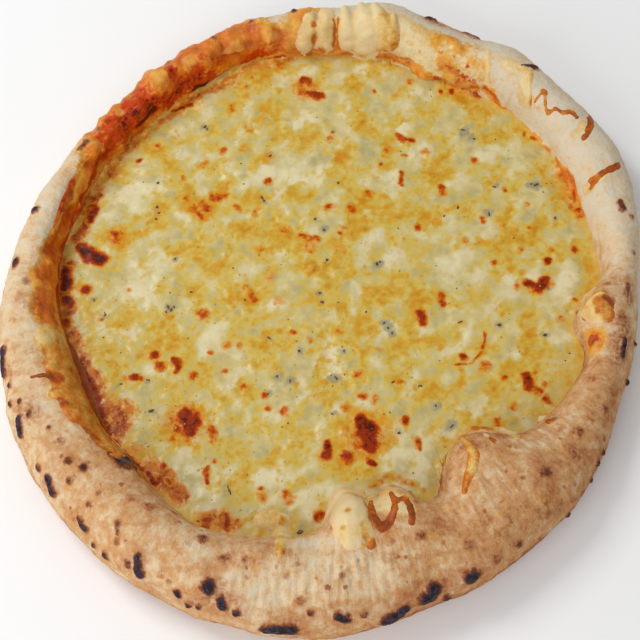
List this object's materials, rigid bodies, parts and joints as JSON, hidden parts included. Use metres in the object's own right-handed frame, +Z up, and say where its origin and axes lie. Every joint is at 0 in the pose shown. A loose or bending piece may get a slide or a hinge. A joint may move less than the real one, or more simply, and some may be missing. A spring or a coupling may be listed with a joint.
{
  "type": "four cheese pizza",
  "caption": "Baked pizza with a tall puffed rim, a thin layer of tomato sauce and a pool of mixed melted cheeses, with cheese that flowed and browned on the rim.",
  "frame": {"origin": "middle of the flat underside, on the surface that the pizza rests on", "axes": "+Z up out of the cheese, +Y towards the back of the pizza as pictured, +X towards its right"},
  "size_m": [0.3255, 0.3532, 0.0421],
  "materials": {
    "crust": "matte, floury, baked with charred spots",
    "tomato_sauce": "wet and oily",
    "melted_cheese": "soft gloss with browned bubbles",
    "rim_cheese": "soft gloss, toasted at the edges",
    "browned_cheese": "caramelised, glossy"
  },
  "bodies": {
    "root": {"crust": "crust", "tomato_sauce": "tomato_sauce", "melted_cheese": "melted_cheese", "cheese_flow_back": "rim_cheese", "cheese_lump_back": "rim_cheese", "cheese_lump_right": "rim_cheese", "cheese_strip_left": "rim_cheese", "cheese_drape_front": "rim_cheese", "cheese_drip_front": "rim_cheese", "cheese_loops_front": "browned_cheese", "cheese_strand_right": "rim_cheese", "cheese_lip_right": "rim_cheese"}
  },
  "joints": []
}
